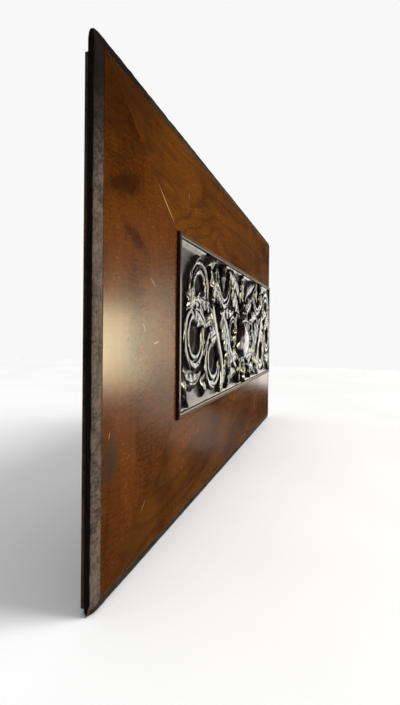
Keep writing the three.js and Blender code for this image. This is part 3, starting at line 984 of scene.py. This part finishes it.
def border_wood(name, grain_along, field, strip, ring_strength, streak_share, line_stretch):
    """Varnished figured wood with flecks across the grain, and a dark worn strip at the outer edge, paler in
    part as painted sheen and with painted shade towards the top left corner.
    """
    finish = Finish(name)
    place_xyz = finish.object_place()
    grain = place_xyz if grain_along == "x" else finish.swap_x_z(place_xyz)
    deep = tuple(DEEP_SHARE * part for part in field[0])

    # Figure of the field
    ring_count = 90.0
    fine_share = 0.46
    cloud_share = 0.7
    line_share = 0.25
    cloud = finish.grain_noise(grain, (9.0, 15.0, 15.0), detail=3.0, roughness=0.5, distortion=0.5)
    rings = finish.grain_noise(grain, (2.6, 13.0, 13.0), detail=2.0, roughness=0.4)
    ring_line = finish.ramp(finish.math("SINE", finish.part(rings, ring_count), 0.0), 0.35, 1.0)
    streak = finish.grain_noise(grain, (12.0, 300.0, 300.0), detail=4.0, roughness=0.65)
    fleck = finish.grain_noise(grain, (520.0, 230.0, 230.0), detail=3.0, roughness=0.6, distortion=0.3)
    lines = finish.grain_noise(grain, line_stretch, detail=2.0, roughness=0.5)
    pore = finish.grain_noise(grain, (70.0, 1300.0, 1300.0), detail=2.0)
    figure = finish.part(streak, streak_share)
    figure = finish.plus_part(figure, fleck, fine_share - streak_share)
    figure = finish.plus_part(figure, cloud, cloud_share)
    figure = finish.plus_part(figure, lines, line_share)
    colour = finish.shade(finish.ramp(figure, 0.38, 0.90), field)
    colour = finish.mix(finish.ramp(fleck, 0.46, 0.84, to_high=0.16), colour, rgb(*GOLDEN_FLECK))
    colour = finish.tint(colour, ring_line, ring_strength, deep)
    colour = finish.mix(finish.ramp(pore, 0.60, 0.80, to_high=0.2), colour, rgb(*deep))

    # Marks and wear on the field, a painted highlight by the top left mitre, and darker top left and bottom
    # left corners
    edge_noise = finish.noise(place_xyz, 90.0, detail=4.0, roughness=0.6)
    marks = [(patch, 0.6, deep) for patch in DARK_PATCHES]
    marks.append((STAIN, 0.8, STAIN_BROWN))
    marks.extend((line, 0.8, SCRATCH_PALE) for line in SCRATCHES)
    for oval, strength, pigment in marks:
        colour = finish.tint(colour, finish.mark(place_xyz, edge_noise, **oval), strength, pigment)
    # Painted highlight: a pale streak by the top left mitre, near the joint
    near_mitre = finish.ramp(finish.attribute("mitre"), 0.3, 1.1, to_low=1.0, to_high=0.0)
    mitre_painted_highlight = finish.math("MULTIPLY", near_mitre, finish.mark(place_xyz, edge_noise, **MITRE_PAINTED_HIGHLIGHT_OVAL))
    colour = finish.mix(mitre_painted_highlight, colour, rgb(*MITRE_PAINTED_HIGHLIGHT_PALE))
    corner = finish.mark(place_xyz, edge_noise, **DARK_CORNER)
    low_corner = finish.mark(place_xyz, edge_noise, **LOW_CORNER)
    colour = finish.tint(colour, corner, 0.62, deep)
    colour = finish.tint(colour, low_corner, 0.4, deep)

    # Strip and side; the side's near-black is partly its dark stain, partly painted shade
    inset = finish.attribute("inset")
    speckle = finish.noise(place_xyz, 420.0, detail=5.0, roughness=0.7)
    patch = finish.noise(place_xyz, 60.0, detail=4.0, roughness=0.6)
    strip_colour = finish.shade(finish.ramp(finish.plus_part(speckle, patch, 0.6), 0.55, 1.05), strip)
    # Painted shade: the strip darkens to near black towards the top left corner
    strip_colour = finish.tint(strip_colour, corner, 0.95, STRIP_TOP_PAINTED_SHADE)
    wavy_inset = finish.plus_part(inset, patch, 0.5)
    on_field = finish.ramp(wavy_inset, STRIP_WIDTH + 0.1, STRIP_WIDTH + 0.9)
    on_side = finish.ramp(inset, -0.6, 0.0, to_low=1.0, to_high=0.0)
    colour = finish.mix(on_field, strip_colour, colour)
    # The board's side goes near black: partly its dark stain, partly painted shade
    colour = finish.mix(on_side, colour, rgb(*SIDE_STAIN_AND_PAINTED_SHADE))

    # Varnish and surface
    strip_roughness = 0.42
    gloss = finish.ramp(cloud, 0.3, 0.7, to_low=0.20, to_high=0.27)
    gloss = finish.plus_part(gloss, finish.math("SUBTRACT", fleck, 0.5), 0.10)
    levels = {0: on_field, 2: strip_roughness, 3: gloss}
    roughness = finish.add("Mix", {"data_type": "FLOAT"}, levels).outputs[0]
    coat = finish.part(on_field, 0.4)
    normal = finish.bump(streak, distance=0.00008, strength=0.5)
    normal = finish.bump(fleck, distance=0.00006, strength=0.4, normal=normal)
    rough_height = finish.math("MULTIPLY", speckle, finish.math("SUBTRACT", 1.0, on_field))
    normal = finish.bump(rough_height, distance=0.0006, strength=0.8, normal=normal)
    finish.set(Base_Color=colour, Roughness=roughness, Coat_Weight=coat, Normal=normal)
    finish.set(Coat_Roughness=0.2, Specular_IOR_Level=0.4)
    return finish.material


# Colours of the carved panel, dark and light; the ground's is partly painted sheen, the eyes' is painted
# shade and the arris' is a painted highlight
CARVED_BODY = ((0.004, 0.003, 0.0025), (0.018, 0.010, 0.006))
CARVED_GROUND_AND_PAINTED_SHEEN = ((0.080, 0.067, 0.063), (0.170, 0.145, 0.138))
WORN_HEIGHTS = ((0.020, 0.006, 0.003), (0.060, 0.014, 0.007))
RIM_BROWN = ((0.05, 0.018, 0.007), (0.11, 0.042, 0.015))
SCROLL_EYE_PAINTED_SHADE = (0.004, 0.003, 0.002)
ARRIS_PAINTED_HIGHLIGHT = (0.42, 0.35, 0.26)


def carved_wood():
    """Near-black polished wood, browner on the worn rim, with a paler and duller tooled ground whose
    paleness is partly painted sheen, painted shade in the eyes of the scrolls and a painted highlight on the
    rim's inner arris.
    """
    finish = Finish("carved_dark_wood")
    place_xyz = finish.object_place()
    relief = finish.attribute("relief")
    rim = finish.attribute("rim")
    eye_painted_shade = finish.attribute("eye_painted_shade")
    cloud = finish.noise(place_xyz, 45.0, detail=4.0, roughness=0.6)
    streak = finish.grain_noise(place_xyz, (30.0, 300.0, 300.0), detail=4.0, roughness=0.6)
    tooling = finish.grain_noise(place_xyz, (300.0, 300.0, 600.0), detail=3.0, roughness=0.6)

    stain = finish.ramp(finish.plus_part(cloud, streak, 0.5), 0.55, 0.95)
    on_ground = finish.ramp(relief, 0.3, 1.6, to_low=1.0, to_high=0.0)
    on_heights = finish.ramp(relief, 8.5, 12.5)
    # The ground's pale mauve-grey is partly its duller tooled wood, partly painted sheen
    colour = finish.mix(on_ground, finish.shade(stain, CARVED_BODY), finish.shade(tooling, CARVED_GROUND_AND_PAINTED_SHEEN))
    colour = finish.mix(on_heights, colour, finish.shade(stain, WORN_HEIGHTS))
    # Painted shade: the sunk ground in the eyes of the scrolls goes near black
    colour = finish.mix(eye_painted_shade, colour, rgb(*SCROLL_EYE_PAINTED_SHADE))
    colour = finish.mix(rim, colour, finish.shade(finish.ramp(streak, 0.3, 0.7), RIM_BROWN))
    # Painted highlight: a pale line along the rim's inner arris
    colour = finish.mix(finish.attribute("arris"), colour, rgb(*ARRIS_PAINTED_HIGHLIGHT))

    roughness = finish.ramp(cloud, 0.3, 0.7, to_low=0.15, to_high=0.24)
    for duller, amount in ((on_ground, 0.20), (rim, 0.25), (eye_painted_shade, 0.3)):
        roughness = finish.plus_part(roughness, duller, amount)
    dry = finish.math("MAXIMUM", finish.plus_part(rim, on_ground, 0.3), eye_painted_shade)
    coat = finish.math("SUBTRACT", 1.0, dry)
    tool_height = finish.math("MULTIPLY", tooling, finish.ramp(on_ground, 0.0, 1.0, to_low=0.12))
    normal = finish.bump(tool_height, distance=0.0012, strength=0.8)
    finish.set(Base_Color=colour, Roughness=roughness, Coat_Weight=coat, Normal=normal)
    finish.set(Coat_Roughness=0.12)
    return finish.material


# Colours of the back and of the floor, dark and light
BACKING = ((0.020, 0.012, 0.008), (0.085, 0.050, 0.030))
PALE_FLOOR = ((0.80, 0.80, 0.80), (0.84, 0.84, 0.84))


def backing_wood():
    """Thin dark unpolished board with a coarse grain."""
    finish = Finish("backing_wood")
    place_xyz = finish.object_place()
    grain = finish.grain_noise(place_xyz, (6.0, 200.0, 200.0), detail=5.0, roughness=0.65)
    patch = finish.noise(place_xyz, 14.0, detail=4.0, roughness=0.6)
    colour = finish.shade(finish.ramp(finish.math("ADD", grain, patch), 0.75, 1.3), BACKING)
    finish.set(Base_Color=colour, Roughness=finish.ramp(patch, 0.3, 0.7, to_low=0.65, to_high=0.85))
    finish.set(Normal=finish.bump(grain, distance=0.0003, strength=0.6))
    return finish.material


def floor_paint():
    """Pale matt floor, faintly uneven."""
    finish = Finish("pale_floor")
    uneven = finish.ramp(finish.noise(finish.object_place(), 3.0), 0.3, 0.7)
    finish.set(Base_Color=finish.shade(uneven, PALE_FLOOR), Roughness=0.8)
    return finish.material


# Studio

FLOOR_LEVEL = cad_low.z
FLOOR_HALF_SIZE = 1.95
BACKDROP = (0.94, 0.94, 0.94)

# Light that the room gives: where it comes from most, and its least and greatest strength
ROOM_BRIGHT_SIDE = (0.88, -0.42, 0.22)
ROOM_RANGE = (-0.35, 1.0)
ROOM_STRENGTHS = (0.005, 0.018)

# Suns: direction of the light, spread in degrees and strength
SUNS = {
    "above": dict(toward=(0.0, 0.0, -1.0), spread=60.0, strength=1.9),
    "front": dict(toward=(-0.25, 0.68, -0.68), spread=30.0, strength=2.9),
}

# Soft lights: place, what they point at and size in metres, power in watts and colour
LIGHTS = {
    "window": dict(at=(1.27, -1.91, -0.09), target=(-0.33, 0.0, 0.0), width=0.5, height=0.45,
                   power=11.5, colour=(1.0, 0.88, 0.58)),
    "sheen": dict(at=(2.2, -2.0, -0.15), target=(-0.29, 0.0, 0.0), width=0.35, height=1.2,
                  power=1.8, colour=(1.0, 0.93, 0.82)),
    "side": dict(at=(5.7, -1.85, -0.1), target=(0.0, 0.0, 0.0), width=3.2, height=1.9,
                 power=31.0, colour=(1.0, 0.97, 0.89)),
    "low": dict(at=(2.5, -0.8, -0.95), target=(-0.23, 0.0, -0.1), width=0.5, height=0.3,
                power=0.18, colour=(1.0, 0.86, 0.78)),
}


def make_floor():
    size = FLOOR_HALF_SIZE
    mesh = bpy.data.meshes.new("floor")
    corners = [(x, y, FLOOR_LEVEL) for x, y in ((-size, -size), (size, -size), (size, size), (-size, size))]
    mesh.from_pydata(corners, [], [(0, 1, 2, 3)])
    floor = bpy.data.objects.new("floor", mesh)
    bpy.context.scene.collection.objects.link(floor)
    mesh.materials.append(floor_paint())
    floor.visible_glossy = False


def make_light(name, at, target, width, height, power, colour):
    data = bpy.data.lights.new(name, "AREA")
    data.shape = "RECTANGLE"
    data.size = width
    data.size_y = height
    data.energy = power
    data.color = colour
    light = bpy.data.objects.new(name, data)
    light.location = at
    light.rotation_euler = (Vector(target) - Vector(at)).to_track_quat("-Z", "Y").to_euler()
    bpy.context.scene.collection.objects.link(light)


def make_world():
    """A white backdrop; the room that lights and shows in the wood is dim, and least so to the far right."""
    world = bpy.data.worlds.new("studio")
    world.use_nodes = True
    bpy.context.scene.world = world
    nodes = world.node_tree.nodes
    links = world.node_tree.links
    backdrop = nodes["Background"]
    backdrop.inputs["Color"].default_value = rgb(*BACKDROP)
    around = nodes.new("ShaderNodeBackground")
    direction = nodes.new("ShaderNodeTexCoord").outputs["Generated"]
    toward = nodes.new("ShaderNodeVectorMath")
    toward.operation = "DOT_PRODUCT"
    toward.inputs[1].default_value = Vector(ROOM_BRIGHT_SIDE).normalized()
    links.new(direction, toward.inputs[0])
    level = nodes.new("ShaderNodeMapRange")
    level.interpolation_type = "SMOOTHSTEP"
    level.inputs["From Min"].default_value, level.inputs["From Max"].default_value = ROOM_RANGE
    level.inputs["To Min"].default_value, level.inputs["To Max"].default_value = ROOM_STRENGTHS
    links.new(toward.outputs["Value"], level.inputs["Value"])
    links.new(level.outputs["Result"], around.inputs["Strength"])
    seen = nodes.new("ShaderNodeMixShader")
    links.new(nodes.new("ShaderNodeLightPath").outputs["Is Camera Ray"], seen.inputs[0])
    links.new(around.outputs[0], seen.inputs[1])
    links.new(backdrop.outputs[0], seen.inputs[2])
    links.new(seen.outputs[0], nodes["World Output"].inputs["Surface"])


def make_sun(name, toward, spread, strength):
    data = bpy.data.lights.new(name, "SUN")
    data.energy = strength
    data.angle = math.radians(spread)
    light = bpy.data.objects.new(name, data)
    light.rotation_euler = Vector(toward).to_track_quat("-Z", "Y").to_euler()
    light.visible_glossy = False
    bpy.context.scene.collection.objects.link(light)


def make_studio():
    bpy.context.scene.view_settings.view_transform = "Standard"
    make_world()
    make_floor()
    for name, settings in SUNS.items():
        make_sun(name, **settings)
    for name, settings in LIGHTS.items():
        make_light(name, **settings)


# The plaque's pieces

def mark_panel(panel):
    """Keeps, for the panel's material, the height above the ground, the rim, its inner arris for a painted
    highlight, and the eyes of the scrolls for painted shade.
    """
    slack = 0.01
    end_rim = 0.4
    x, y, z = point_places(panel).T / MM
    from_end = PANEL_HALF_WIDTH - np.abs(x)
    from_side = PANEL_HALF_HEIGHT - np.abs(z)
    inset = np.minimum(from_end, from_side)
    height = GROUND_FRONT - y
    store(panel, "relief", height)
    on_top = smooth_step(RIM_FRONT + 1.5, RIM_FRONT + 0.5, y)
    on_rim = (inset > ARRIS - slack) & (inset < RIM_WIDTH + 5 * slack)
    store(panel, "rim", on_rim * on_top * np.where(from_end < from_side, end_rim, 1.0))
    # The rim's inner arris, which gets a painted highlight
    arris_painted_highlight = (inset > RIM_WIDTH - ARRIS - slack) & (inset < RIM_WIDTH + slack)
    store(panel, "arris", arris_painted_highlight & (y < RIM_FRONT + ARRIS + slack))
    # Eyes of the scrolls: the low ground inside each ring, where painted shade goes
    eye_painted_shade = np.zeros(len(x))
    for sizes in SCROLLS.values():
        from_centre = np.hypot(-np.abs(x) - sizes["centre"][0], z - sizes["centre"][1])
        hole = sum(sizes["radii"]) / 2 - sizes["half_widths"][0]
        low = smooth_step(3.0, 1.5, height)
        eye_painted_shade = np.maximum(eye_painted_shade, low * smooth_step(hole + 1.0, hole - 3.0, from_centre))
    store(panel, "eye_painted_shade", eye_painted_shade)


def make_panel():
    panel = carved_panel()
    mark_panel(panel)
    panel.data.materials.clear()
    panel.data.materials.append(carved_wood())
    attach(panel, "root")
    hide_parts("carved_panel")


def make_boards():
    woods = {name: border_wood(name, **settings) for name, settings in WOODS.items()}
    side_wood = woods["border_side_wood"]
    long_wood = woods["border_long_wood"]
    sizes = {
        "top": ((1, 0), (0, 1), HALF_WIDTH, HALF_HEIGHT, long_wood),
        "right": ((0, 1), (1, 0), HALF_HEIGHT, HALF_WIDTH, side_wood),
        "bottom": ((1, 0), (0, -1), HALF_WIDTH, HALF_HEIGHT, long_wood),
        "left": ((0, 1), (-1, 0), HALF_HEIGHT, HALF_WIDTH, side_wood),
    }
    for side, (along, outward, half_length, reach, wood) in sizes.items():
        piece = board("figured_board_" + side, along, outward, half_length, reach)
        piece.data.materials.append(wood)
        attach(piece, "root")
        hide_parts("border_" + side)


def finish_backboard():
    back = bpy.data.objects["backboard"]
    back.data.materials.clear()
    back.data.materials.append(backing_wood())


make_camera()
make_studio()
make_panel()
make_boards()
finish_backboard()
